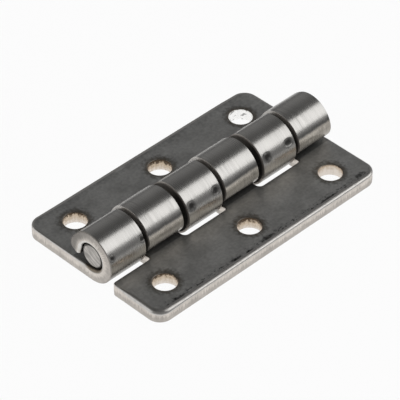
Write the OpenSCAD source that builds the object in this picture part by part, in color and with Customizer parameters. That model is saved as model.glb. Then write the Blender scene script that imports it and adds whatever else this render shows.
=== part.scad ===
// Butt hinge with two punched and rolled sheet leaves that turn on one fixed pin.
// Lengths are in millimetres. The hinge lies flat and open on the backs of its leaves.
// X runs across the leaves, Y along the pin and Z up, with the origin under the pin.

/* [Leaves] */
// Length of the hinge along the pin
leaf_length = 65; // [58:0.5:90]
// Distance from the pin's centre line to a leaf's outer edge
leaf_width = 20.1; // [18:0.1:30]
// Thickness of the sheet
sheet = 3; // [2:0.1:3.5]
// Radius of the two outer corners of a leaf
corner_r = 3.2; // [1:0.1:5]
// Rounding that the punch leaves on the upper edges of the sheet
edge_round = 0.6; // [0.2:0.05:0.8]

/* [Knuckles] */
// Number of knuckles on each leaf
knuckles_per_leaf = 3; // [2:1:4]
// Gap between the two knuckles of a pair, one from each leaf
pair_gap = 0.9; // [0.6:0.1:2]
// Gap between one pair of knuckles and the next
group_gap = 1.4; // [0.6:0.1:2.5]
// Room between a knuckle and the notch that it turns in
notch_clearance = 0.3; // [0.2:0.05:1]
// Angle above the pin's centre line from which the end of the curl runs straight
curl_straight_deg = 13; // [10:1:30]
// Depth of the curl's tip below the pin's centre line
curl_drop = 1.8; // [1:0.1:2.5]
// Slope of the curl's cut end, which rises from the tip to the outside
curl_cut_deg = 20; // [0:1:40]
// Radius that rounds off the outside of the curl's end
curl_end_r = 3; // [2.5:0.1:4.5]

/* [Pin] */
// Diameter of the pin
pin_d = 6; // [4:0.1:7]
// Room between the pin and the bore of a knuckle, on each side
pin_clearance = 0.1; // [0.05:0.05:0.3]
// Depth of the pin's ends inside the barrel's ends
pin_recess = 0.4; // [0.1:0.1:2]
// Rounding of the pin's ends
pin_round = 0.5; // [0.2:0.1:1]

/* [Screw holes] */
// Number of screw holes in each leaf
holes_per_leaf = 3; // [2:1:4]
// Diameter of a screw hole
hole_d = 5.3; // [3.5:0.1:6.5]
// Distance from a leaf's end to the centre of its first hole
hole_end = 8; // [6:0.5:12]
// Distance from a leaf's outer edge to the centres of its holes
hole_edge = 6.7; // [5:0.1:8]
// Rounding that the punch leaves on the upper edge of a hole
hole_round = 0.3; // [0.2:0.05:0.8]

/* [Stake marks] */
// Diameter of the round tool that stakes the fixed leaf's knuckles onto the pin
stake_d = 2; // [1:0.1:3]
// Depth of a stake mark
stake_depth = 0.2; // [0.1:0.05:0.4]
// Distance from a knuckle's end to the centre of a stake mark
stake_inset = 1.3; // [1:0.1:2]
// Height of the stake marks round the barrel, above the side away from the leaf
stake_deg = 30; // [0:1:60]

/* [Hidden] */
$fn = 96;
leaf_color = [0.47, 0.46, 0.45];
pin_color = [0.62, 0.61, 0.59];
// A cutter runs this far past the surface that it cuts
over = 0.5;
// The end of the curl laps this far back into the rest of it
lap_deg = 10;
pin_r = pin_d / 2;
bore_r = pin_r + pin_clearance;
// The sheet is rolled round the bore, so its back is tangent to the outside of the knuckle
knuckle_r = bore_r + sheet;
axis_z = knuckle_r;
notch_x = knuckle_r + notch_clearance;
pair_count = knuckles_per_leaf;
all_gaps = pair_count * pair_gap + (pair_count - 1) * group_gap;
knuckle_len = (leaf_length - all_gaps) / (2 * pair_count);
pair_pitch = 2 * knuckle_len + pair_gap + group_gap;
knuckle_starts = [for (i = [0 : pair_count - 1]) -leaf_length / 2 + i * pair_pitch];
hole_x = leaf_width - hole_edge;
hole_pitch = (leaf_length - 2 * hole_end) / (holes_per_leaf - 1);
hole_ys = [for (i = [0 : holes_per_leaf - 1]) -leaf_length / 2 + hole_end + i * hole_pitch];
pin_length = leaf_length - 2 * pin_recess;

// Waste beside a rounded edge: the edge is at the origin, the face on its left and the top above
module edge_waste(r) {
    difference() {
        translate([-over, -r])
            square([r + over, r + over]);
        translate([r, -r])
            circle(r);
    }
}

// Waste along a straight upper edge, from the origin: at turn 0 it runs to -Y with the sheet on +X
module straight_waste(length, turn) {
    rotate([90, 0, turn])
        linear_extrude(length)
            edge_waste(edge_round);
}

// Waste round the outside of a rounded corner or a round bar of radius r, below z = 0
module outer_ring_waste(r, round_r, sweep = 360) {
    rotate_extrude(angle = sweep)
        translate([r, 0])
            mirror([1, 0])
                edge_waste(round_r);
}

// Waste round the mouth of a hole of radius r, below z = 0
module mouth_waste(r, round_r) {
    rotate_extrude()
        translate([r, 0])
            edge_waste(round_r);
}

// Plan of the flat part of a leaf, from its rounded outer corners to the bottoms of its notches
module plate_plan() {
    half = leaf_length / 2;
    translate([-leaf_width + corner_r, -half])
        square([leaf_width - corner_r - notch_x, leaf_length]);
    translate([-leaf_width, -half + corner_r])
        square([corner_r, leaf_length - 2 * corner_r]);
    for (side = [-1, 1])
        translate([-leaf_width + corner_r, side * (half - corner_r)])
            circle(corner_r);
}

// End of the curl: straight inside from the bore, rounded off outside, with a sloping cut end
module curl_end() {
    a = curl_straight_deg;
    bore_side = bore_r * [-cos(a), sin(a)];
    straight_run = (bore_r * sin(a) + curl_drop) / cos(a);
    inner_tip = bore_side - straight_run * [sin(a), cos(a)];
    cut_out = inner_tip + (sheet + over) * [-cos(curl_cut_deg), sin(curl_cut_deg)];
    // A point in the middle of the sheet, a little back round the curl, laps the two together
    lap = (bore_r + sheet / 2) * [-cos(a + lap_deg), sin(a + lap_deg)];
    far = 2 * knuckle_r;
    intersection() {
        translate((knuckle_r - curl_end_r) * [-cos(a), sin(a)])
            circle(curl_end_r);
        polygon([bore_side, inner_tip, cut_out, far * [-cos(a), sin(a)], lap]);
    }
}

// Section through a knuckle and the tongue of sheet that it is rolled from, about the pin's centre
module knuckle_section() {
    a = curl_straight_deg;
    far = 2 * knuckle_r;
    difference() {
        circle(knuckle_r);
        circle(bore_r);
        polygon([[0, 0], far * [-cos(a), sin(a)], [-far, -far], [0, -far]]);
    }
    translate([-notch_x, -knuckle_r])
        square([notch_x, sheet]);
    curl_end();
}

module knuckle(start) {
    translate([0, start + knuckle_len, axis_z])
        rotate([90, 0, 0])
            linear_extrude(knuckle_len)
                knuckle_section();
}

// Waste on the upper side of a tongue's two edges, which becomes the inside of the knuckle
module knuckle_waste(start) {
    translate([-notch_x, start, sheet])
        straight_waste(notch_x, 90);
    translate([0, start + knuckle_len, sheet])
        straight_waste(notch_x, -90);
    translate([0, start, axis_z])
        rotate([90, 0, 0])
            mouth_waste(bore_r, edge_round);
    translate([0, start + knuckle_len, axis_z])
        rotate([-90, 0, 0])
            mouth_waste(bore_r, edge_round);
}

// Waste on the upper edge of the plate: outer edge, two corners, two ends and the notches
module plate_waste() {
    half = leaf_length / 2;
    straight_end = leaf_width - corner_r - notch_x;
    translate([-leaf_width, half - corner_r, sheet])
        straight_waste(leaf_length - 2 * corner_r, 0);
    translate([-leaf_width + corner_r, -half, sheet])
        straight_waste(straight_end, 90);
    translate([-notch_x, half, sheet])
        straight_waste(straight_end, -90);
    for (side = [-1, 1])
        translate([-leaf_width + corner_r, side * (half - corner_r), sheet])
            rotate([0, 0, side > 0 ? 90 : 180])
                outer_ring_waste(corner_r, edge_round, 90);
    for (start = knuckle_starts)
        translate([-notch_x, start + knuckle_len, sheet])
            straight_waste(pair_pitch - knuckle_len, 180);
}

// Punched hole, with its wall straight below the rounded mouth
module screw_hole(y) {
    translate([-hole_x, y, -over])
        cylinder(h = sheet + 2 * over, r = hole_d / 2);
    translate([-hole_x, y, sheet])
        mouth_waste(hole_d / 2, hole_round);
}

module leaf() {
    difference() {
        union() {
            linear_extrude(sheet)
                plate_plan();
            for (start = knuckle_starts)
                knuckle(start);
        }
        plate_waste();
        for (start = knuckle_starts)
            knuckle_waste(start);
        for (y = hole_ys)
            screw_hole(y);
    }
}

// Round dent low on the side of a knuckle, near one of its ends
module stake_mark(y) {
    ball_r = stake_d / 2;
    translate([0, y, axis_z])
        rotate([0, -stake_deg, 0])
            translate([knuckle_r + ball_r - stake_depth, 0, 0])
                sphere(ball_r);
}

// The leaf that holds the pin, staked near both ends of each knuckle
module fixed_leaf() {
    color(leaf_color)
        difference() {
            leaf();
            for (start = knuckle_starts) {
                stake_mark(start + stake_inset);
                stake_mark(start + knuckle_len - stake_inset);
            }
        }
}

// The same punching turned end for end, so that its knuckles fall between the others
module swing_leaf() {
    color(leaf_color)
        rotate([0, 0, 180])
            leaf();
}

module hinge_pin() {
    color(pin_color)
        translate([0, pin_length / 2, axis_z])
            rotate([90, 0, 0])
                difference() {
                    cylinder(h = pin_length, r = pin_r);
                    translate([0, 0, pin_length])
                        outer_ring_waste(pin_r, pin_round);
                    mirror([0, 0, 1])
                        outer_ring_waste(pin_r, pin_round);
                }
}

fixed_leaf();
swing_leaf();
hinge_pin();
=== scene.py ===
import math
from collections import namedtuple

import bmesh
import bpy
import numpy as np
from mathutils import Matrix, Vector


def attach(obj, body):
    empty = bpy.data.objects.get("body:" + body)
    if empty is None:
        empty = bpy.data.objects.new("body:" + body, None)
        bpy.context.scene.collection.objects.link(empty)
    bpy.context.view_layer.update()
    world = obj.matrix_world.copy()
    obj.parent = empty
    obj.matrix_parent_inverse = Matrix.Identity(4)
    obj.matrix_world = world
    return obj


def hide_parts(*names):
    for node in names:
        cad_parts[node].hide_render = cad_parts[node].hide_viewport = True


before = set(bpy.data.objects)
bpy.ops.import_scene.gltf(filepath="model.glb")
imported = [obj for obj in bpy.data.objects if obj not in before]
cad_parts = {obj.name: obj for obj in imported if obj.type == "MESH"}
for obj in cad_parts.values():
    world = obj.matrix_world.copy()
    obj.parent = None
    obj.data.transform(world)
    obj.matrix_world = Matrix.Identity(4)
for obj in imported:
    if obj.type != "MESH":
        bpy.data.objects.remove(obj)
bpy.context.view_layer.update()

# The leaf blank. Each leaf starts as one flat punching of bare 3 mm stainless sheet: a plate with
# three screw holes and three tongues. The punch draws the top edge over all round and leaves the
# lower edge nearly sharp. Lengths are in millimetres here, and s runs across the blank to the pin.
MM = 0.001
SHEET = 3.0
HALF_LENGTH = 32.5
OUTER_EDGE = -20.1
CORNER_R = 3.2
TONGUES = [(-32.5, -22.5833), (-10.3667, -0.45), (11.7667, 21.6833)]
HOLE_S = -13.4
HOLE_PITCH = 24.5
HOLE_R = 2.65
# The bottom of the notches between the tongues, their inside corners, and the plate's last corner
NOTCH_EDGE = -6.2
NOTCH_LOW_R, NOTCH_HIGH_R = 1.1, 0.5
NIB_R = 0.9
# Lines on which the plate is divided into one cell round each hole
SPLIT_A, SPLIT_B = TONGUES[1][0] - NOTCH_LOW_R, TONGUES[2][0] - NOTCH_LOW_R
# The edge that the punch draws over, at the notches, along the tongues and round the holes
NOTCH_ROLL = 0.3
EDGE_ROLL = 0.7
HOLE_REACH, HOLE_DEPTH = 0.5, 0.15
# The sheared wall leans in below a height, and the lower edge is broken by a small bevel
WALL_LEAN, LEAN_BELOW = 0.05, 1.2
EDGE_BREAK = 0.15
BEVEL_SLOPE = 0.75
# Points on the three stretches of an edge's section, across a tongue, along a cut and along a spoke
DRAWN_POINTS, WALL_POINTS, BEVEL_POINTS = 8, 7, 6
ACROSS = 34
CUT_POINTS = 18
SPOKE_POINTS = 15
# Slots of the finishes
FACE, BACK, SHEARED, PUNCHED, DRAWN = range(5)
# The plate's walls are numbered from here along the edge, well past the tongues' walls
PLATE_WALL = 100.0


def edge_section(reach, depth, worn=EDGE_BREAK):
    """Section of a punched edge from the top face to the back, as (inset, height): a quarter of an
    oval that reaches in over the face and down the wall, then the sheared wall, which leans in a
    little low down, and a worn bevel at the back."""
    sizes = np.broadcast_arrays(reach, depth, worn)
    reach, depth, worn = (np.asarray(size, float)[..., None] for size in sizes)
    turn = np.linspace(0.0, math.pi / 2, DRAWN_POINTS)
    bevel = np.linspace(0.0, 1.0, BEVEL_POINTS)[1:]
    wall = SHEET - depth - (SHEET - depth - worn) * np.linspace(0.0, 1.0, WALL_POINTS)[1:]
    lean = WALL_LEAN * np.clip((LEAN_BELOW - wall) / LEAN_BELOW, 0.0, 1.0)
    broken = lean[..., -1:] + BEVEL_SLOPE * worn * bevel
    inset = np.concatenate([reach * (1 - np.sin(turn)), lean, broken], -1)
    height = np.concatenate([SHEET - depth * (1 - np.cos(turn)), wall, worn * (1 - bevel)], -1)
    return inset, height


EDGE_INSET, _ = edge_section(EDGE_ROLL, EDGE_ROLL)
BACK_INSET = EDGE_INSET[-1]
# Where the plate's near end runs on into the first tongue, the two meet on a slanting line, with
# some room before the edge's next point
SLANT = NOTCH_ROLL + (BACK_INSET - NOTCH_ROLL) * np.linspace(0.0, 1.0, len(EDGE_INSET))
SLANT_ROOM = 1.0


def run(start, stop, normal, count):
    """Straight stretch of outline: count points from start to stop, with one outward normal."""
    points = np.linspace(start, stop, count)
    return points, np.tile(np.array(normal, float), (count, 1))


def bend(centre, radius, first_deg, last_deg, count):
    """Rounded corner of the outline: points on a circle, whose outward normal is the radius."""
    turn = np.radians(np.linspace(first_deg, last_deg, count))
    normal = np.stack([np.cos(turn), np.sin(turn)], 1)
    return np.array(centre) + radius * normal, normal


def joined(*stretches):
    """Stretches of outline end to end, each shared point kept once."""
    keep = [s[:-1] for s in stretches[:-1]] + [stretches[-1]]
    return np.concatenate(keep)


def strip_length(points):
    """Distance along an outline at each of its points."""
    step = np.linalg.norm(np.diff(points, axis=0), axis=1)
    return np.concatenate([[0.0], np.cumsum(step)])


# The drawn-over edge along the outline: distance from the first tongue, reach over the face, depth
DRAWN_OVER = np.array([
    (0.0, NOTCH_ROLL, NOTCH_ROLL), (1.0, NOTCH_ROLL, NOTCH_ROLL), (4.0, 0.45, 0.3),
    (10.5, 0.5, 0.35), (13.0, 0.6, 0.5), (20.0, 1.0, 0.55), (70.0, 1.0, 0.55), (76.7, 1.1, 1.0),
    (80.0, 0.9, 0.8), (85.0, 0.9, 0.8), (88.2, NOTCH_ROLL, NOTCH_ROLL),
])
ROUND = (
    "near_end", "near_corner", "outer_a", "outer_b", "outer_c", "far_corner", "far_end", "nib",
    "notch_c",
)


def outline():
    """The plate's outline by named stretches, from the near end round the outer edge to the last
    notch. A stretch is its points, its outward normals, and the reach and depth of its drawn-over
    edge."""
    end, out, notch = HALF_LENGTH, OUTER_EDGE, NOTCH_EDGE
    inner = out + CORNER_R
    points, normals = run((notch - SLANT_ROOM, -end), (inner, -end), (0, -1), 14)
    near = np.concatenate([[(notch, -end)], points]), np.concatenate([normals[:1], normals])
    stretches = {
        "near_end": near,
        "near_corner": bend((inner, CORNER_R - end), CORNER_R, 270, 180, 20),
        "outer_a": run((out, CORNER_R - end), (out, SPLIT_A), (-1, 0), 30),
        "outer_b": run((out, SPLIT_A), (out, SPLIT_B), (-1, 0), 34),
        "outer_c": run((out, SPLIT_B), (out, end - CORNER_R), (-1, 0), 28),
        "far_corner": bend((inner, end - CORNER_R), CORNER_R, 180, 90, 20),
        "far_end": run((inner, end), (notch - NIB_R, end), (0, 1), 14),
        "nib": bend((notch - NIB_R, end - NIB_R), NIB_R, 90, 0, 8),
        "notch_c": run((notch, end - NIB_R), (notch, TONGUES[2][1] + NOTCH_HIGH_R), (1, 0), 16),
        "notch_b": run((notch, SPLIT_B), (notch, TONGUES[1][1] + NOTCH_HIGH_R), (1, 0), 20),
        "notch_a": run((notch, SPLIT_A), (notch, TONGUES[0][1] + NOTCH_HIGH_R), (1, 0), 20),
    }
    start = 0.0
    for name, (points, normals) in stretches.items():
        length = start + strip_length(points)
        start = length[-1]
        sizes = [np.interp(length, DRAWN_OVER[:, 0], DRAWN_OVER[:, size]) for size in (1, 2)]
        stretches[name] = (points, normals, *sizes)
    return stretches


OUTLINE = outline()


def edge_strip(points, normals, section):
    """A punched edge: the section carried along an outline. A point is the outline's point, moved
    in by the section's inset against the outward normal, at the section's height."""
    inset, height = section
    flat = points[:, None, :] - inset[..., None] * normals[:, None, :]
    return np.concatenate([flat, np.broadcast_to(height, flat.shape[:2])[..., None]], 2)


def patch(grid, finish, flat=None):
    """One patch of the blank: its points in (s, y, height), the sheet's own coordinates on it, and
    its finish."""
    return grid, (grid[..., :2] if flat is None else flat), finish


def along(points, strip):
    """Coordinates on a sheared wall: distance along the edge, and height above the back."""
    length = np.broadcast_to(strip_length(points)[:, None], strip.shape[:2])
    return np.stack([length, strip[..., 2]], 2)


def edge_patches(strip, flat, top=DRAWN, wall=SHEARED):
    """A carried edge as two patches: the drawn-over top, and the sheared rest."""
    rest = DRAWN_POINTS - 1
    return [patch(strip[:, :DRAWN_POINTS], top), patch(strip[:, rest:], wall, flat[:, rest:])]


def cell_border(which, on_face):
    """The closed border of the cell round one hole, moved in from the outline by the drawn-over
    edge on the face, or by the broken edge on the back. It starts along a tongue's root."""
    inset = NOTCH_ROLL if on_face else BACK_INSET
    inner = NOTCH_EDGE - inset

    def root():
        low, high = TONGUES[which]
        low += inset if which == 0 else -NOTCH_LOW_R
        return np.linspace((inner, low), (inner, high + NOTCH_HIGH_R), ACROSS)

    def side(name):
        points, normals, reach, _ = OUTLINE[name]
        moved = (points - (reach[:, None] if on_face else BACK_INSET) * normals)[::-1]
        if name == "near_end":
            moved[-1, 0] = inner
        return moved

    def cut(y, outwards):
        outer = OUTLINE["outer_b"][2][0] if on_face else BACK_INSET
        ends = (inner, y), (OUTER_EDGE + outer, y)
        return np.linspace(*(ends if outwards else ends[::-1]), CUT_POINTS)

    sides = [
        (root(), side("notch_a"), cut(SPLIT_A, True), side("outer_a"), side("near_corner"),
         side("near_end")),
        (root(), side("notch_b"), cut(SPLIT_B, True), side("outer_b"), cut(SPLIT_A, False)),
        (root(), side("notch_c"), side("nib"), side("far_end"), side("far_corner"),
         side("outer_c"), cut(SPLIT_B, False)),
    ]
    return joined(*sides[which])


def plate():
    """The plate as patches. Its edges are sections carried along the outline. Its flat faces are
    cells round the three holes: straight spokes run from the hole's rim to each point of the cell's
    border, divided more finely near the rim."""
    patches = []
    for names in (ROUND, ("notch_b",), ("notch_a",)):
        points, normals, reach, depth = (
            joined(*[OUTLINE[name][part] for name in names]) for part in range(4)
        )
        strip = edge_strip(points, normals, edge_section(reach, depth))
        if names is ROUND:
            strip[0, :, 0] = NOTCH_EDGE - SLANT
        patches += edge_patches(strip, along(points, strip) + np.array([PLATE_WALL, 0.0]))

    share = np.linspace(0.0, 1.0, SPOKE_POINTS) ** 1.5
    for which in range(len(TONGUES)):
        centre = np.array([HOLE_S, (which - 1) * HOLE_PITCH])
        around = cell_border(which, True) - centre
        turn = np.arctan2(around[:, 1], around[:, 0])
        spoke = np.stack([np.cos(turn), np.sin(turn)], 1)
        hole = centre + HOLE_R * spoke
        wall = edge_strip(hole, -spoke, edge_section(HOLE_REACH, HOLE_DEPTH))
        patches += edge_patches(wall, along(hole, wall), FACE, PUNCHED)
        for on_face, rim, height, finish in (
            (True, HOLE_REACH, SHEET, FACE),
            (False, BACK_INSET, 0.0, BACK),
        ):
            mouth = centre + (HOLE_R + rim) * spoke
            edge = cell_border(which, on_face)
            cell = mouth[:, None] + share[None, :, None] * (edge - mouth)[:, None]
            level = np.full(cell.shape[:2] + (1,), height)
            patches.append(patch(np.concatenate([cell, level], 2), finish))
    return patches


# Rolling. The tongues are turned round a mandrel for 257 degrees, with the sheet's back outside,
# and the last stretch of each, its nose, stays straight. The rolling tool rounds off the nose's
# outer side, its cut end slopes, and on one leaf the tool has also flattened the curl before it.
ROLL_R = 6.1
ROLL_DEG = 257.0
ROLLED = ROLL_R * math.radians(ROLL_DEG)
TIP_ROLL = 0.4
STAKE_DEPTH = 0.2
# Angles round the roll, middle and half width, of the flattened place and of a worn outer edge
FLATTENED_AT = 230.0, 33.0
WORN_AT = 132.0, 34.0
# Points along a tongue: round the root, to the pin, round the mandrel, along its nose, at its tip
ROOT_POINTS, FLAT_POINTS, ROLLED_POINTS, NOSE_POINTS, TIP_POINTS = 9, 8, 170, 12, 7
# Depth of a nose's tip below the pin's axis, slope of its cut, radius of its back, flattened depth
Nose = namedtuple("Nose", "drop slope_deg back_r flattened")


def straight_end(height, nose):
    """Length of the straight stretch at a height in the sheet. On the face it ends at a depth below
    the pin's axis, and from there the cut slopes up to the back, so the length is in proportion to
    the distance from the face."""
    rise = math.radians(270.0 - ROLL_DEG)
    longest = ((ROLL_R - SHEET) * math.sin(rise) + nose.drop) / math.cos(rise)
    return longest - (SHEET - height) * math.tan(math.radians(nose.slope_deg) - rise)


def nose_back(share, nose):
    """Height at which the rounded back lies at a share of the straight stretch: a circle that
    leaves the tangent there. The stretch's own length depends on that height, so it is settled in
    steps."""
    height = np.zeros_like(share)
    for _ in range(30):
        reach = np.minimum(share * straight_end(height, nose), nose.back_r)
        height = nose.back_r - np.sqrt(nose.back_r ** 2 - reach ** 2)
    return height


def roll_up(blank):
    """Flat blank to rolled leaf. Up to the pin's axis nothing moves. From there s is wound on the
    outside circle, so a point at some height turns at the radius less that height, and past the
    last angle it goes straight on."""
    s, y, height = blank[..., 0], blank[..., 1], blank[..., 2]
    turn = np.clip(s, 0.0, ROLLED) / ROLL_R
    radius = ROLL_R - height
    past = np.maximum(s - ROLLED, 0.0)
    last = math.radians(ROLL_DEG)
    x = radius * np.sin(turn) + np.minimum(s, 0.0) + past * math.cos(last)
    z = ROLL_R - radius * np.cos(turn) + past * math.sin(last)
    return np.stack([x, y, z], -1)


def swell(turn_deg, middle, half):
    """A smooth rise from 0 to 1 and back about a middle angle: half of one plus a cosine."""
    return 0.5 + 0.5 * np.cos(math.pi * np.clip((turn_deg - middle) / half, -1.0, 1.0))


def tongue(low, high, flush, nose, worn_edge=0.0, dents=()):
    """One tongue as patches: a rectangle with drawn-over top corners carried along s. It starts in
    the inside corners of the plate, where the section turns round a small fillet, or flush with the
    plate's end, and it ends in the nose, where the back rises to the face."""
    corner = np.linspace(math.pi / 2, 0.0, ROOT_POINTS)
    rolled_s = np.linspace(0.0, ROLLED, ROLLED_POINTS)[1:]
    tip = np.linspace(0.0, math.pi / 2, TIP_POINTS)[1:]
    tip_share = TIP_ROLL / straight_end(SHEET, nose)
    last = np.concatenate([
        np.linspace(0.0, 1.0 - tip_share, NOSE_POINTS)[1:],
        1.0 - tip_share * (1 - np.sin(tip)),
    ])
    count = len(corner) + FLAT_POINTS - 1 + len(rolled_s) + len(last)
    # Shares of a row's inset that go along s and along y: they change over round the fillet
    pivot = np.concatenate([np.sin(corner), np.zeros(count - len(corner))])
    side = np.concatenate([np.cos(corner), np.ones(count - len(corner))])

    def places(radius):
        """Places of the rows along s at one side: round the fillet, up to the pin's axis, and round
        the mandrel."""
        root = NOTCH_EDGE + radius * (1 - np.sin(corner))
        flat_s = np.linspace(NOTCH_EDGE + radius, 0.0, FLAT_POINTS)[1:]
        return np.concatenate([root, flat_s, rolled_s, np.full(len(last), ROLLED)])

    low_s, high_s = places(NOTCH_LOW_R), places(NOTCH_HIGH_R)
    share = np.concatenate([np.zeros(count - len(last)), last])
    turn_deg = np.degrees(high_s / ROLL_R)
    back = nose_back(share, nose) + nose.flattened * swell(turn_deg, *FLATTENED_AT)
    worn = EDGE_BREAK + worn_edge * swell(turn_deg, *WORN_AT)
    roll = np.concatenate([
        np.full(len(corner), NOTCH_ROLL),
        np.linspace(NOTCH_ROLL, EDGE_ROLL, FLAT_POINTS)[1:],
        np.full(len(rolled_s) + len(last), EDGE_ROLL),
    ])
    edge_inset, edge_height = edge_section(roll, roll, worn)
    rounded_tip = SHEET - TIP_ROLL * (1 - np.cos(tip))
    top = np.concatenate([np.full(count - len(tip), SHEET), rounded_tip])
    ways = np.linspace(0.0, 1.0, ACROSS)[None]

    def at(s, y, height):
        """Points of the blank, with the nose's share of its straight stretch added to s."""
        s, y, height = np.broadcast_arrays(s, y, height)
        return np.stack([s + share[:, None] * straight_end(height, nose), y, height], 2)

    def wide(inset, height):
        """A face of the tongue, from side to side, moved in by inset at both."""
        fillet = inset * side - NOTCH_LOW_R * (1 - side)
        near = low + (inset * np.ones(count) if flush else fillet)
        far = high - inset * side + NOTCH_HIGH_R * (1 - side)
        s = low_s[:, None] + (high_s - low_s)[:, None] * ways - (inset * pivot)[:, None]
        return at(s, near[:, None] + (far - near)[:, None] * ways, height[:, None])

    def wall(edge, sign, base, radius, straight):
        """A side of the tongue: the edge section, squeezed where the back rises."""
        height = back[:, None] + (top - back)[:, None] * edge_height / SHEET
        if straight:
            s = base[:, None] - pivot[:, None] * SLANT[None]
            y = edge + sign * edge_inset
        else:
            s = base[:, None] - pivot[:, None] * edge_inset
            y = edge + sign * (side[:, None] * (edge_inset + radius) - radius)
        return at(s, y, height)

    face = wide(roll, top)
    rear = wide(edge_inset[:, -1], back)
    near = wall(low, 1, low_s, NOTCH_LOW_R, flush)
    far = wall(high, -1, high_s, NOTCH_HIGH_R, False)
    for grid in (rear, near, far):
        for s, y, half_width, half_length in dents:
            away = np.hypot((grid[..., 0] - s) / half_width, (grid[..., 1] - y) / half_length)
            pressed = STAKE_DEPTH * np.clip(1.0 - away ** 2, 0.0, 1.0) ** 0.8
            grid[..., 2] += pressed * (1.0 - grid[..., 2] / SHEET)
    cap = near[-1][:, None] + (far[-1] - near[-1])[:, None] * ways[..., None]
    patches = [patch(face, FACE), patch(rear, BACK), patch(cap, SHEARED, cap[..., 1:])]
    for strip in (near, far):
        patches += edge_patches(strip, np.stack([strip[..., 0], strip[..., 2]], 2))
    return patches


# In metres, points this close are merged and shorter edges dissolved; steeper edges stay sharp
MERGED, DISSOLVED, SHARP_DEG = 2e-6, 1e-7, 40.0


def as_mesh(name, patches, place, finishes):
    """One closed mesh from patches: every patch is a grid of quads, and the grids are merged where
    they meet. The sheet's own coordinates are kept as a UV map, in millimetres."""
    points, quads, flats, slots, start = [], [], [], [], 0
    for grid, flat, finish in patches:
        rows, columns = grid.shape[:2]
        number = start + np.arange(rows * columns).reshape(rows, columns)
        corners = number[:-1, :-1], number[1:, :-1], number[1:, 1:], number[:-1, 1:]
        quad = np.stack(corners, -1).reshape(-1, 4)
        points.append(place(grid).reshape(-1, 3))
        flats.append(flat.reshape(-1, 2))
        quads.append(quad)
        slots.append(np.full(len(quad), finish))
        start += rows * columns
    quads, flats = np.concatenate(quads), np.concatenate(flats)
    mesh = bpy.data.meshes.new(name)
    mesh.from_pydata(np.concatenate(points) * MM, [], quads)
    layer = mesh.uv_layers.new(name="sheet_mm")
    layer.data.foreach_set("uv", flats[quads.ravel()].astype(np.float32).ravel())
    mesh.polygons.foreach_set("material_index", np.concatenate(slots).astype(np.int32))
    for finish in finishes:
        mesh.materials.append(finish)
    work = bmesh.new()
    work.from_mesh(mesh)
    bmesh.ops.remove_doubles(work, verts=work.verts, dist=MERGED)
    bmesh.ops.dissolve_degenerate(work, edges=work.edges, dist=DISSOLVED)
    bmesh.ops.recalc_face_normals(work, faces=work.faces)
    work.to_mesh(mesh)
    work.free()
    mesh.shade_smooth()
    mesh.set_sharp_from_angle(angle=math.radians(SHARP_DEG))
    piece = bpy.data.objects.new(name, mesh)
    bpy.context.scene.collection.objects.link(piece)
    return piece


# The steel. The real steel is neither painted nor plated: the mill leaves the sheet's face dull,
# the rolling tool brightens the outside of the knuckles, and the punch leaves pale walls and
# burnished edges. Dirt from handling lies on all of them. Some colours also carry painted shade and
# painted highlights where the hinge's own shapes shade or light it.


def put(tree, kind, sockets=None, **settings):
    """Adds a node: settings are its own properties; a socket takes a number, a colour or another
    node's output."""
    node = tree.nodes.new(kind)
    for key, value in settings.items():
        setattr(node, key, value)
    for key, value in (sockets or {}).items():
        if isinstance(value, bpy.types.NodeSocket):
            tree.links.new(value, node.inputs[key])
        else:
            node.inputs[key].default_value = value
    return node


def sums(tree, operation, *values):
    """One step of arithmetic on shader values."""
    return put(tree, "ShaderNodeMath", dict(enumerate(values)), operation=operation).outputs[0]


def times(tree, first, *others):
    """The product of shader values."""
    for other in others:
        first = sums(tree, "MULTIPLY", first, other)
    return first


def split(tree, vector):
    """The three numbers of a vector."""
    return put(tree, "ShaderNodeSeparateXYZ", {0: vector}).outputs


def length_of(tree, vector):
    """The length of a vector."""
    return put(tree, "ShaderNodeVectorMath", {0: vector}, operation="LENGTH").outputs["Value"]


def spread(tree, value, low, high, to_low, to_high, kind="SMOOTHSTEP"):
    """A value carried from one range to another, with soft ends."""
    sockets = {
        "Value": value, "From Min": low, "From Max": high, "To Min": to_low, "To Max": to_high,
    }
    return put(tree, "ShaderNodeMapRange", sockets, interpolation_type=kind).outputs[0]


def ramped(tree, value, low, high, to_low, to_high):
    """A value carried from one range to another in proportion."""
    return spread(tree, value, low, high, to_low, to_high, "LINEAR")


def cloud(tree, where, scale, detail=4.0, shift=0.0):
    """Noise with its own number of waves to the millimetre along each direction."""
    mapped = put(tree, "ShaderNodeMapping", {
        "Vector": where, "Scale": (*scale, 1.0), "Location": (shift, shift, 0.0),
    }).outputs[0]
    sockets = {"Vector": mapped, "Scale": 1.0, "Detail": detail}
    return put(tree, "ShaderNodeTexNoise", sockets).outputs[0]


def banded(tree, value, *stops):
    """A value read off a line through stops, each a place and a level, and level beyond the first
    and the last."""
    first, last = stops[0][0], stops[-1][0]
    ramp = put(tree, "ShaderNodeValToRGB", {0: ramped(tree, value, first, last, 0.0, 1.0)})
    elements = ramp.color_ramp.elements
    elements[0].position, elements[0].color = 0.0, (*[stops[0][1]] * 3, 1.0)
    elements[1].position, elements[1].color = 1.0, (*[stops[-1][1]] * 3, 1.0)
    for place, level in stops[1:-1]:
        elements.new((place - first) / (last - first)).color = (*[level] * 3, 1.0)
    return ramp.outputs[0]


def mixed(tree, share, first, second):
    """Two colours mixed by a shader value: the first at 0, the second at 1."""
    node = put(tree, "ShaderNodeMix", data_type="RGBA")
    inputs = node.inputs[0], node.inputs[6], node.inputs[7]
    for socket, value in zip(inputs, (share, first, second)):
        if isinstance(value, bpy.types.NodeSocket):
            tree.links.new(value, socket)
        else:
            socket.default_value = (*value, 1.0)
    return node.outputs[2]


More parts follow.
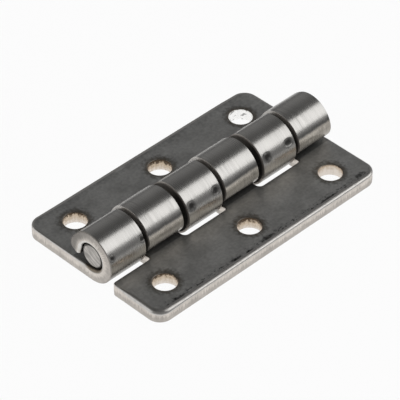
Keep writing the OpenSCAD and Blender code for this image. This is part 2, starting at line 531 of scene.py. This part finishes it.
def ovals(tree, where, ragged, places, low):
    """The least of several oval spots: low in the middle of each, 1 outside them all. A place is a
    spot's middle in s and y, its half width and half length; the ragged value moves the spots'
    borders."""
    least = None
    for s, y, half_width, half_length in places:
        mapped = put(tree, "ShaderNodeMapping", {
            "Vector": where, "Location": (-s / half_width, -y / half_length, 0.0),
            "Scale": (1.0 / half_width, 1.0 / half_length, 1.0),
        }).outputs[0]
        away = sums(tree, "ADD", length_of(tree, mapped), ragged)
        spot = spread(tree, away, 0.3, 1.4, low, 1.0)
        least = spot if least is None else sums(tree, "MINIMUM", least, spot)
    return least


def tinted(tree, colour, *factors):
    """A colour darkened or lightened by shader values."""
    sockets = {0: colour, "Scale": times(tree, *factors)}
    return put(tree, "ShaderNodeVectorMath", sockets, operation="SCALE").outputs[0]


def bare_steel(name):
    """An empty metal finish: its node tree, the shader, and the sheet's own coordinates in
    millimetres."""
    material = bpy.data.materials.new(name)
    material.use_nodes = True
    tree = material.node_tree
    shader = tree.nodes["Principled BSDF"]
    shader.inputs["Metallic"].default_value = 1.0
    where = put(tree, "ShaderNodeUVMap", uv_map="sheet_mm").outputs[0]
    return material, tree, shader, where


def hinge_place(tree):
    """A place on the hinge in metres, as its three numbers."""
    return split(tree, put(tree, "ShaderNodeTexCoord").outputs["Object"])


def pin_distance(tree, spot):
    """Distance of a place on the hinge from the pin's axis."""
    raised = sums(tree, "SUBTRACT", spot[2], ROLL_R * MM)
    return length_of(tree, put(tree, "ShaderNodeCombineXYZ", {0: spot[0], 1: raised}).outputs[0])


def give(tree, shader, colour, roughness, height, depth):
    """Joins colour, roughness and a bump of the given depth in millimetres to the shader."""
    tree.links.new(colour, shader.inputs["Base Color"])
    tree.links.new(roughness, shader.inputs["Roughness"])
    bump = put(tree, "ShaderNodeBump", {"Height": height, "Distance": depth * MM, "Strength": 1.0})
    tree.links.new(bump.outputs[0], shader.inputs["Normal"])


def sheet_face(name, shift, smudges, shade, specked=0.0):
    """Mill-rolled face of the sheet: a dull satin grey, cloudy and mottled, stained brown round the
    holes, with painted shade of the drawn-down rim in a dark ring round each, dull along the outer
    edge, and darkened by painted shade under the barrel. Smudges are ovals of dirt or scuffs, of
    one shade. Specks of dirt sit along the outer edge."""
    grey, brown = (0.64, 0.636, 0.618), (0.55, 0.47, 0.38)
    material, tree, shader, where = bare_steel(name)
    across, along_y = split(tree, where)[:2]
    fold = sums(tree, "WRAP", along_y, HOLE_PITCH / 2, -HOLE_PITCH / 2)
    off_hole = {0: sums(tree, "SUBTRACT", across, HOLE_S), 1: fold}
    from_hole = length_of(tree, put(tree, "ShaderNodeCombineXYZ", off_hole).outputs[0])
    clouds = cloud(tree, where, (0.22, 0.16), 5.0, shift)
    fine = cloud(tree, where, (3.0, 0.7), 6.0, shift)
    mottle = cloud(tree, where, (1.3, 1.3), 6.0, shift + 3.0)
    ragged = ramped(tree, mottle, 0.3, 0.7, -0.5, 0.5)
    wavy = sums(tree, "ADD", from_hole, ragged)
    stained = spread(tree, wavy, HOLE_R - 0.2, HOLE_R + 1.3, 0.75, 0.0)
    grains = cloud(tree, where, (2.2, 1.1), 3.0, shift + 8.0)
    specks = times(tree, spread(tree, grains, 0.55, 0.63, 0.0, specked),
                   spread(tree, across, -18.9, -17.3, 1.0, 0.0))
    colour = tinted(
        tree, mixed(tree, stained, grey, brown),
        spread(tree, clouds, 0.3, 0.7, 0.84, 1.14),
        spread(tree, fine, 0.25, 0.75, 0.94, 1.05),
        spread(tree, mottle, 0.35, 0.65, 0.92, 1.05),
        # Painted shade of the drawn-down rim: a dark ring round each hole, over the brown stain
        spread(tree, wavy, HOLE_R + 0.2, HOLE_R + 1.9, 0.55, 1.0),
        spread(tree, sums(tree, "ADD", across, ragged), -19.4, -17.2, 0.8, 1.0),
        ovals(tree, where, ragged, smudges, shade),
        # Painted shade under the barrel, where the face runs in under the curl
        spread(tree, across, -5.9, -5.45, 1.0, 0.6),
        sums(tree, "SUBTRACT", 1.0, specks),
    )
    roughness = sums(tree, "ADD", spread(tree, clouds, 0.3, 0.7, 0.51, 0.44),
                     spread(tree, fine, 0.2, 0.8, -0.03, 0.04))
    give(tree, shader, colour, roughness, sums(tree, "ADD", fine, clouds), 0.012)
    return material


def drawn_edge():
    """The edge that the punch has drawn over: burnished brighter than the face, with small nicks,
    and painted dark brown low in the knuckles, beside the pin, as shade where the bore hides it."""
    burnished, shade_brown = (0.72, 0.70, 0.67), (0.25, 0.21, 0.165)
    material, tree, shader, where = bare_steel("drawn_edge")
    nicks = cloud(tree, where, (1.2, 1.2), 5.0, 4.0)
    spot = hinge_place(tree)
    # Painted shade on the drawn edges at the bore's mouth, low in the knuckles beside the pin
    bore_shade = times(tree, spread(tree, pin_distance(tree, spot), 3.4 * MM, 4.1 * MM, 1.0, 0.0),
                spread(tree, spot[2], 4.0 * MM, 7.0 * MM, 1.0, 0.0))
    colour = tinted(tree, mixed(tree, bore_shade, burnished, shade_brown),
                    spread(tree, nicks, 0.3, 0.45, 0.85, 1.0))
    give(tree, shader, colour, spread(tree, nicks, 0.3, 0.7, 0.42, 0.30), nicks, 0.01)
    return material


def rolled_back(name, brushed, marks=()):
    """Outside of the knuckles and back of the plate: bright, with fine lines round the barrel from
    the rolling tool, stronger in some places than in others. Painted shade darkens the low side
    where a knuckle leaves its notch, and the curl's last stretch carries a painted highlight band
    with a painted dark line above. A punch mark is dark, from the punch and from painted shade in
    its dent."""
    steel, warm_steel = (0.655, 0.64, 0.615), (0.68, 0.63, 0.56)
    material, tree, shader, where = bare_steel(name)
    lines = cloud(tree, where, (0.06, 2.2), 8.0)
    blot = cloud(tree, where, (0.14, 0.22), 3.0, 9.0)
    patchy = cloud(tree, where, (1.1, 1.1), 5.0, 5.0)
    ragged = ramped(tree, patchy, 0.3, 0.7, -0.3, 0.3)
    line_depth = spread(tree, blot, 0.38, 0.62, 0.15, brushed)
    brushing = times(tree, sums(tree, "SUBTRACT", lines, 0.5), line_depth)
    uneven = sums(tree, "ADD", ramped(tree, blot, 0.3, 0.7, -0.25, 0.25), times(tree, ragged, 0.4))
    wavy = sums(tree, "ADD", split(tree, where)[0], uneven)
    # Painted shade on the low side of the knuckles, where a knuckle leaves its notch
    painted_low_shade = banded(tree, wavy, (5.0, 1.0), (6.6, 0.25), (7.9, 0.22), (8.5, 0.4), (9.1, 0.58),
                   (10.6, 0.66), (11.5, 0.95), (12.1, 1.0))
    # Painted highlight band on the curl's last stretch, with a painted dark line above it
    painted_nose_band = banded(tree, wavy, (25.0, 1.0), (25.5, 0.85), (25.9, 0.6), (26.15, 0.62), (26.45, 1.35),
                   (26.8, 1.35), (27.2, 0.85), (27.7, 0.5), (28.6, 0.55))
    warm = banded(tree, wavy, (6.0, 0.0), (7.0, 1.0), (10.0, 1.0), (11.5, 0.0), (26.0, 0.0),
                  (26.6, 1.0))
    factors = [
        ramped(tree, brushing, -0.2, 0.2, 0.80, 1.12), spread(tree, blot, 0.3, 0.7, 1.03, 0.94),
        painted_low_shade, painted_nose_band,
    ]
    if marks:
        # Punch marks darkened, from the rough punched steel and as painted shade in the dents
        factors.append(ovals(tree, where, ragged, marks, 0.2))
    colour = tinted(tree, mixed(tree, warm, steel, warm_steel), *factors)
    give(tree, shader, colour, ramped(tree, brushing, -0.2, 0.2, 0.34, 0.20), brushing, 0.012)
    return material


def sheared_wall(name, gap_levels, edge_highlight):
    """A punched outer wall: pale and matt, streaked across the sheet, rough and darker where it
    tore near the back. Between the knuckles it is darker, rougher and less metallic, by levels
    given round the roll. The end of a curl carries painted shade near its nose, and a knuckle's
    worn outer edge may carry a painted highlight."""
    pale, highlight_pale = (0.83, 0.775, 0.715), (0.95, 0.92, 0.88)
    material, tree, shader, where = bare_steel(name)
    place_along, height = split(tree, where)[:2]
    spot = hinge_place(tree)
    end_face = spread(tree, sums(tree, "ABSOLUTE", spot[1]), 31.5 * MM, 32.2 * MM, 0.0, 1.0)
    rim = spread(tree, pin_distance(tree, spot), 5.4 * MM, 6.05 * MM, 0.0, 1.0)
    outside = sums(tree, "MAXIMUM", rim, end_face)
    # Darker between the knuckles, by levels given round the roll
    gap_tone = times(tree, banded(tree, place_along, *gap_levels), sums(tree, "SUBTRACT", 1.0, outside))
    streaks = cloud(tree, where, (3.5, 0.35), 5.0)
    rough = cloud(tree, where, (4.0, 4.0), 5.0, 7.0)
    blot = cloud(tree, where, (0.35, 0.35), 4.0, 11.0)
    level = sums(tree, "ADD", height, ramped(tree, streaks, 0.3, 0.7, -0.4, 0.4))
    # Painted shade on the curl's end face near its nose, where the bent wall faces away from the
    # light
    near_tip = banded(tree, place_along, (15.0, 0.0), (23.0, 0.5), (40.0, 0.5), (60.0, 0.0))
    nose_shade = times(tree, end_face, near_tip, spread(tree, height, 1.5, 2.6, 1.0, 0.0))
    colour = tinted(
        tree, pale,
        spread(tree, streaks, 0.3, 0.7, 0.93, 1.04),
        spread(tree, blot, 0.3, 0.7, 0.88, 1.05),
        spread(tree, level, 1.1, 1.9, 0.74, 1.0),
        spread(tree, height, 0.1, 0.35, 0.7, 1.0),
        sums(tree, "SUBTRACT", 1.0, nose_shade),
        sums(tree, "ADD", outside, gap_tone),
    )
    # Painted highlight on a knuckle's worn outer edge, low on the end wall
    if edge_highlight:
        bright = banded(tree, place_along, (10.0, 0.0), (12.0, edge_highlight), (15.5, edge_highlight), (18.0, 0.0))
        bright = times(tree, bright, spread(tree, height, 0.5, 1.0, 1.0, 0.0))
        colour = mixed(tree, bright, colour, highlight_pale)
    tree.links.new(ramped(tree, outside, 0.0, 1.0, 0.3, 1.0), shader.inputs["Metallic"])
    roughness = sums(tree, "MAXIMUM", spread(tree, rough, 0.3, 0.7, 0.42, 0.62),
                     ramped(tree, outside, 0.0, 1.0, 0.9, 0.0))
    give(tree, shader, colour, roughness, sums(tree, "ADD", streaks, rough), 0.012)
    return material


def punched_wall():
    """Wall of a screw hole: pale where the punch sheared it, browner towards the face, with brown
    drips and specks under the upper edge. The holes at the far end are cleaner, and the fixed
    leaf's is polished, with a few dark marks."""
    pale, tan, dark, polish = (
        (0.80, 0.73, 0.66), (0.60, 0.49, 0.37), (0.085, 0.058, 0.038), (0.95, 0.945, 0.93),
    )
    material, tree, shader, where = bare_steel("punched_wall")
    height = split(tree, where)[1]
    spot = hinge_place(tree)
    drips = cloud(tree, where, (1.6, 0.3), 4.0, 2.0)
    specks = cloud(tree, where, (2.6, 2.0), 5.0, 6.0)
    marks = cloud(tree, where, (0.5, 0.7), 3.0, 13.0)
    far_end = spread(tree, spot[1], 15.0 * MM, 20.0 * MM, 0.0, 1.0)
    polished = times(tree, far_end, spread(tree, spot[0], -5.0 * MM, 5.0 * MM, 1.0, 0.0))
    uneven = sums(tree, "ADD", ramped(tree, drips, 0.3, 0.7, -0.4, 0.4),
                  ramped(tree, specks, 0.3, 0.7, -0.45, 0.45))
    middle = spread(tree, sums(tree, "ABSOLUTE", spot[1]), 5.0 * MM, 10.0 * MM, 0.35, 0.0)
    level = sums(tree, "ADD", sums(tree, "ADD", height, uneven), middle)
    level = sums(tree, "SUBTRACT", level, times(tree, far_end, 0.9))
    base = mixed(tree, spread(tree, level, 0.0, 2.2, 0.0, 1.0), pale, tan)
    base = mixed(tree, polished, base, polish)
    marked = times(tree, polished, spread(tree, marks, 0.56, 0.6, 0.0, 0.6))
    colour = tinted(
        tree, mixed(tree, spread(tree, level, 1.9, 2.7, 0.0, 0.95), base, dark),
        spread(tree, drips, 0.3, 0.7, 1.03, 0.95),
        sums(tree, "SUBTRACT", 1.0, marked),
    )
    roughness = sums(tree, "SUBTRACT", spread(tree, specks, 0.3, 0.7, 0.34, 0.46),
                     times(tree, polished, 0.2))
    give(tree, shader, colour, roughness, sums(tree, "ADD", drips, specks), 0.01)
    return material


DRAWN_EDGE = drawn_edge()
PUNCHED_WALL = punched_wall()

# The fixed leaf: the left one, a punched blank with its three tongues rolled into knuckles. They
# are pinched onto the pin with a punch, so each carries a small round dent near both of its ends,
# a third of the way up the open side.
FIXED_NOSE = Nose(1.55, 30.0, 2.6, 0.36)
# How dark the knuckles' sides are between the knuckles: place round the roll and brightness
FIXED_GAP_LEVELS = ((9.5, 0.1), (16.0, 0.14), (18.5, 0.36), (22.0, 0.42), (26.0, 0.15))
# Punch marks and a bright scuff at the outer edge: middles in s and y, half widths and half lengths
STAKE_MARKS = [
    (12.3, -31.6, 0.8, 0.7), (12.4, -23.15, 0.8, 0.8), (12.5, -9.0, 1.1, 1.1),
    (12.6, -1.9, 1.05, 1.1), (12.5, 13.4, 1.1, 1.15), (12.75, 19.85, 0.95, 1.3),
]
EDGE_SCUFF = [(-18.9, -6.3, 0.35, 1.6)]
fixed_patches = plate()
for number, (low, high) in enumerate(TONGUES):
    dents = [mark for mark in STAKE_MARKS if low < mark[1] < high]
    fixed_patches += tongue(low, high, number == 0, FIXED_NOSE, dents=dents)
fixed_leaf = as_mesh("fixed_leaf_sheet", fixed_patches, roll_up, [
    sheet_face("fixed_leaf_face", 0.0, EDGE_SCUFF, 1.6),
    rolled_back("fixed_leaf_back", 0.6, STAKE_MARKS),
    sheared_wall("fixed_leaf_wall", FIXED_GAP_LEVELS, 0.0),
    PUNCHED_WALL,
    DRAWN_EDGE,
])
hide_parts("fixed_leaf")
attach(fixed_leaf, "fixed_side")

# The swing leaf: the same punching turned end for end, so that its knuckles fill the other's
# notches. It isn't pinched and turns on the pin. The outer edges of its knuckles are worn to a
# bevel, and its long edge has picked up dark dirt from handling.
SWING_NOSE = Nose(2.0, 5.0, 3.8, 0.0)
SWING_WORN = 0.75
SWING_GAP_LEVELS = ((9.5, 0.12), (13.5, 0.2), (16.5, 0.55), (23.0, 0.75), (25.8, 0.2))
EDGE_DIRT = [
    (-18.8, 26.1, 0.45, 1.7), (-18.7, 9.7, 0.4, 1.7), (-18.9, 5.7, 0.3, 0.8),
    (-18.6, -0.1, 0.55, 2.0), (-18.9, -17.9, 0.35, 2.8), (-18.4, -28.3, 0.5, 1.3),
]


def turned(blank):
    """The rolled leaf turned half round about the upright axis: x and y change sign."""
    return roll_up(blank) * np.array([-1.0, -1.0, 1.0])


swing_patches = plate()
for number, (low, high) in enumerate(TONGUES):
    swing_patches += tongue(low, high, number == 0, SWING_NOSE, SWING_WORN)
swing_leaf = as_mesh("swing_leaf_sheet", swing_patches, turned, [
    sheet_face("swing_leaf_face", 20.0, EDGE_DIRT, 0.3, 0.75),
    rolled_back("swing_leaf_back", 1.0),
    # The swing leaf's walls carry a painted highlight on the knuckles' worn outer edges
    sheared_wall("swing_leaf_wall", SWING_GAP_LEVELS, 0.9),
    PUNCHED_WALL,
    DRAWN_EDGE,
])
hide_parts("swing_leaf")
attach(swing_leaf, "swing_side")

# The pin: a length of drawn 6 mm bar, sheared off a little short of the barrel, with a rounded edge
# and slightly domed ends, which keep the marks of the shear as slanting streaks. The fixed leaf's
# pinched knuckles hold it.
PIN_R = 3.0
PIN_HALF = 32.1
PIN_EDGE = 0.5
PIN_DOME = 0.06
PIN_ROWS = 31
PIN_SIDES = 96


def pin_surface():
    """A profile turned about the pin's axis: out along the domed end, round the edge, along the
    bar, and back. The dome falls with the square of the distance from the axis."""
    turn = np.radians(np.linspace(0.0, 90.0, 7))[1:]
    out = np.linspace(0.0, PIN_R - PIN_EDGE, 9)
    radius = np.concatenate([out, PIN_R - PIN_EDGE + PIN_EDGE * np.sin(turn)])
    place = np.concatenate([
        PIN_HALF - PIN_DOME * (out / out[-1]) ** 2,
        PIN_HALF - PIN_DOME - PIN_EDGE * (1 - np.cos(turn)),
    ])
    bar = np.linspace(-place[-1], place[-1], PIN_ROWS)[1:-1]
    radius = np.concatenate([radius, np.full(len(bar), PIN_R), radius[::-1]])[:, None]
    place = np.concatenate([-place, bar, place[::-1]])[:, None]
    angle = np.radians(np.linspace(0.0, 360.0, PIN_SIDES + 1))
    x, rise = radius * np.cos(angle), radius * np.sin(angle)
    grid = np.stack([x, np.broadcast_to(place, x.shape), ROLL_R + rise], 2)
    return [patch(grid, 0, np.stack([x, grid[..., 2] - ROLL_R], 2))]


def drawn_bar():
    """Drawn bar with sheared ends: grey, with slanting streaks across the end and painted shade in
    a dark ring round it, where the bore shadows the rounded edge.
    """
    material, tree, shader, where = bare_steel("drawn_bar")
    slant = {"Vector": where, "Rotation": (0.0, 0.0, math.radians(25.0))}
    slanted = put(tree, "ShaderNodeMapping", slant).outputs[0]
    streaks = cloud(tree, slanted, (0.3, 1.6), 4.0)
    fine = cloud(tree, where, (3.0, 3.0), 4.0)
    colour = tinted(
        tree, (0.52, 0.495, 0.465),
        # Painted shade: a dark ring round the pin's end, where the bore shadows its rounded edge
        spread(tree, length_of(tree, where), 2.35, 2.65, 1.0, 0.14),
        spread(tree, streaks, 0.35, 0.65, 0.6, 1.15),
        spread(tree, fine, 0.3, 0.7, 0.95, 1.03),
    )
    roughness = spread(tree, fine, 0.3, 0.7, 0.34, 0.46)
    give(tree, shader, colour, roughness, sums(tree, "ADD", streaks, fine), 0.03)
    return material


hinge_pin = as_mesh("hinge_pin_bar", pin_surface(), lambda grid: grid, [drawn_bar()])
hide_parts("hinge_pin")
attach(hinge_pin, "fixed_side")

# The stage. A pale floor under the hinge that looks white to the camera and in the metal and still
# takes the shadow, a broad soft lamp on the right, a weak one in front, and a world that is pale
# below and dim overhead.
FLOOR_REACH = 4.0
FLOOR_DROP = -0.05 * MM
FLOOR_CLEAR = 0.96
# The world's brightness by how far a direction points up, from -1 to 1
SKY = (
    (-0.44, 1.0), (-0.20, 0.42), (-0.06, 0.15), (0.02, 0.12), (0.29, 0.22), (0.60, 0.175),
    (0.74, 0.12), (0.85, 0.06), (1.0, 0.05),
)
scene = bpy.context.scene
scene.view_settings.view_transform = "Standard"

floor_mesh = bpy.data.meshes.new("floor")
floor_corners = [
    (x * FLOOR_REACH, y * FLOOR_REACH, FLOOR_DROP) for x, y in ((-1, -1), (1, -1), (1, 1), (-1, 1))
]
floor_mesh.from_pydata(floor_corners, [], [(0, 1, 2, 3)])
floor = bpy.data.objects.new("floor", floor_mesh)
scene.collection.objects.link(floor)
floor_paint = bpy.data.materials.new("floor_paint")
floor_paint.use_nodes = True
tree = floor_paint.node_tree
tree.nodes.clear()
rays = put(tree, "ShaderNodeLightPath").outputs
seen = sums(tree, "MAXIMUM", rays["Is Camera Ray"], rays["Is Glossy Ray"])
seen = sums(tree, "MAXIMUM", seen, rays["Is Transmission Ray"])
clear = put(tree, "ShaderNodeBsdfTransparent").outputs[0]
matt = put(tree, "ShaderNodeBsdfDiffuse", {"Color": (0.9, 0.9, 0.9, 1.0)}).outputs[0]
veil = put(tree, "ShaderNodeMixShader", {0: times(tree, seen, FLOOR_CLEAR), 1: matt, 2: clear})
put(tree, "ShaderNodeOutputMaterial", {0: veil.outputs[0]})
floor_mesh.materials.append(floor_paint)

world = bpy.data.worlds.new("studio")
scene.world = world
world.use_nodes = True
tree = world.node_tree
tree.nodes.clear()
seen = put(tree, "ShaderNodeLightPath").outputs["Is Camera Ray"]
up = split(tree, put(tree, "ShaderNodeTexCoord").outputs["Generated"])[2]
dim = put(tree, "ShaderNodeBackground", {0: banded(tree, up, *SKY), 1: 1.0}).outputs[0]
white = put(tree, "ShaderNodeBackground", {0: (1, 1, 1, 1), 1: 1.0}).outputs[0]
sky = put(tree, "ShaderNodeMixShader", {0: seen, 1: dim, 2: white})
put(tree, "ShaderNodeOutputWorld", {0: sky.outputs[0]})


def facing(position, side, above, back):
    """Where a lamp or a camera stands: its position and its own three directions as columns."""
    return Matrix.Translation(position) @ Matrix((side, above, back)).transposed().to_4x4()


def soft_lamp(name, towards, upright, distance, width, height, level):
    """A flat soft lamp that faces the hinge from one direction, with its height along the upright
    direction. Its power is the level of its face times its area."""
    lamp = bpy.data.lights.new(name, "AREA")
    lamp.shape, lamp.size, lamp.size_y = "RECTANGLE", width, height
    lamp.energy = level * math.pi * width * height
    lamp_object = bpy.data.objects.new(name, lamp)
    back = Vector(towards).normalized()
    side = Vector(upright).cross(back).normalized()
    lamp_object.matrix_world = facing(back * distance, side, back.cross(side), back)
    scene.collection.objects.link(lamp_object)


soft_lamp("right_softbox", (0.50, 0.575, 0.645), (-0.777, 0.0, 0.629), 0.6, 0.70, 0.47, 1.1)
soft_lamp("front_fill", (-0.60, -0.75, 0.20), (0.0, 0.0, 1.0), 0.9, 1.2, 0.6, 0.7)

# The camera: a long lens at the photograph's angle, fitted to the hinge's edges. Its place is given
# along its own directions, to the side, upwards and back from the hinge.
AZIMUTH, ELEVATION, TILT = math.radians(45.3435), math.radians(40.4486), math.radians(-0.1243)
ASIDE, RAISED, AWAY = -0.8707 * MM, 1.4375 * MM, 558.2962 * MM
level = math.cos(ELEVATION)
back = Vector((math.sin(AZIMUTH) * level, -math.cos(AZIMUTH) * level, math.sin(ELEVATION)))
right = Vector((math.cos(AZIMUTH), math.sin(AZIMUTH), 0.0))
above = back.cross(right)
camera = bpy.data.objects.new("camera", bpy.data.cameras.new("camera"))
camera.data.sensor_width = 36.0
camera.data.lens = 238.083
camera.data.clip_start, camera.data.clip_end = 0.01, 20.0
camera.matrix_world = facing(
    right * ASIDE + above * RAISED + back * AWAY,
    right * math.cos(TILT) + above * math.sin(TILT),
    above * math.cos(TILT) - right * math.sin(TILT),
    back,
)
scene.collection.objects.link(camera)
scene.camera = camera
